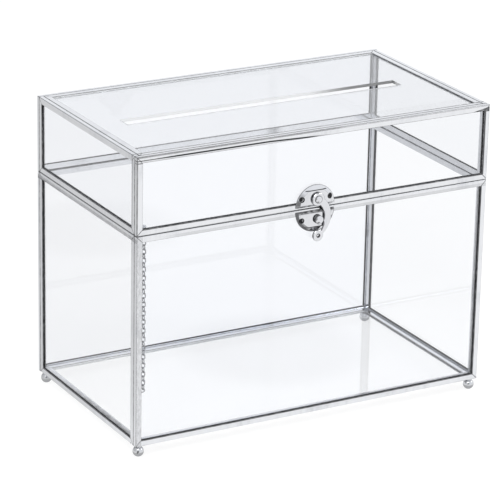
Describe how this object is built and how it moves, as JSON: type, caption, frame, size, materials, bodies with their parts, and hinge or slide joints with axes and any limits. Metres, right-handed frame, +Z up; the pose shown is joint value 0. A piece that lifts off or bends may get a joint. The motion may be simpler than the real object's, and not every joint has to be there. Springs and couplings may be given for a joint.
{
  "type": "wedding card box",
  "caption": "Clear glass box of panes framed in mitred silver channel, with a hinged lid that has a posting slot, a swing hook clasp in front, a stay chain inside and ball feet.",
  "frame": {"origin": "on the standing surface, under the middle of the box", "axes": "+Z up, front with the clasp towards -Y, +X to the right of someone facing the front"},
  "size_m": [0.254, 0.1496, 0.1981],
  "materials": {
    "frame_silver": "silver plated folded channel, polished",
    "clasp_silver": "silver plated stamping, polished",
    "hinge_silver": "silver plated, polished",
    "foot_silver": "silver plated ball, polished",
    "chain_silver": "silver plated wire, polished",
    "fixing_pin_steel": "dark steel, glossy",
    "clear_glass": "clear float glass, polished"
  },
  "bodies": {
    "base": {"base_post_front_left": "frame_silver", "base_post_front_right": "frame_silver", "base_post_back_left": "frame_silver", "base_post_back_right": "frame_silver", "base_bottom_rail_front": "frame_silver", "base_bottom_rail_back": "frame_silver", "base_bottom_rail_left": "frame_silver", "base_bottom_rail_right": "frame_silver", "base_rim_rail_front": "frame_silver", "base_rim_rail_back": "frame_silver", "base_rim_rail_left": "frame_silver", "base_rim_rail_right": "frame_silver", "base_glass_front": "clear_glass", "base_glass_back": "clear_glass", "base_glass_left": "clear_glass", "base_glass_right": "clear_glass", "floor_glass": "clear_glass", "foot_front_left": "foot_silver", "foot_front_right": "foot_silver", "foot_back_left": "foot_silver", "foot_back_right": "foot_silver", "keeper_plate": "clasp_silver", "keeper_pins": "fixing_pin_steel", "keeper_stud": "clasp_silver", "hinge_base_leaf_left": "hinge_silver", "hinge_base_leaf_right": "hinge_silver", "hinge_pin_left": "hinge_silver", "hinge_pin_right": "hinge_silver", "chain_base_tab": "chain_silver"},
    "lid": {"lid_post_front_left": "frame_silver", "lid_post_front_right": "frame_silver", "lid_post_back_left": "frame_silver", "lid_post_back_right": "frame_silver", "lid_top_rail_front": "frame_silver", "lid_top_rail_back": "frame_silver", "lid_top_rail_left": "frame_silver", "lid_top_rail_right": "frame_silver", "lid_rim_rail_front": "frame_silver", "lid_rim_rail_back": "frame_silver", "lid_rim_rail_left": "frame_silver", "lid_rim_rail_right": "frame_silver", "lid_glass_front": "clear_glass", "lid_glass_back": "clear_glass", "lid_glass_left": "clear_glass", "lid_glass_right": "clear_glass", "top_glass": "clear_glass", "latch_plate": "clasp_silver", "latch_pins": "fixing_pin_steel", "pivot_rivet": "clasp_silver", "hinge_lid_leaf_left": "hinge_silver", "hinge_lid_leaf_right": "hinge_silver", "chain_lid_tab": "chain_silver"},
    "hook": {"swing_hook": "clasp_silver"},
    "base_chain": {"chain_base_leg": "chain_silver"},
    "lid_chain": {"chain_lid_leg": "chain_silver"}
  },
  "joints": [
    {"name": "lid_hinge", "type": "hinge", "parent": "base", "child": "lid", "pos_m": [0, 0.07272, 0.1473], "axis": [-1, 0, 0], "range_deg": [0, 99.7], "deforming": ["chain_base_leg", "chain_lid_leg"]},
    {"name": "hook_pivot", "type": "hinge", "parent": "lid", "child": "hook", "pos_m": [-0.0008, -0.07357, 0.1535], "axis": [0, -1, 0], "range_deg": [0, 90]},
    {"name": "base_chain_swing", "type": "hinge", "parent": "base", "child": "base_chain", "pos_m": [-0.121, -0.06232, 0.1444], "axis": [1, 0, 0], "range_deg": [0, 130.2]},
    {"name": "lid_chain_swing", "type": "hinge", "parent": "lid", "child": "lid_chain", "pos_m": [-0.1179, -0.06232, 0.1502], "axis": [1, 0, 0], "range_deg": [0, 49.9]}
  ],
  "couplings": [
    {"joint": "base_chain_swing", "follows": "lid_hinge", "ratio": 1.3054},
    {"joint": "lid_chain_swing", "follows": "lid_hinge", "ratio": 0.5}
  ]
}
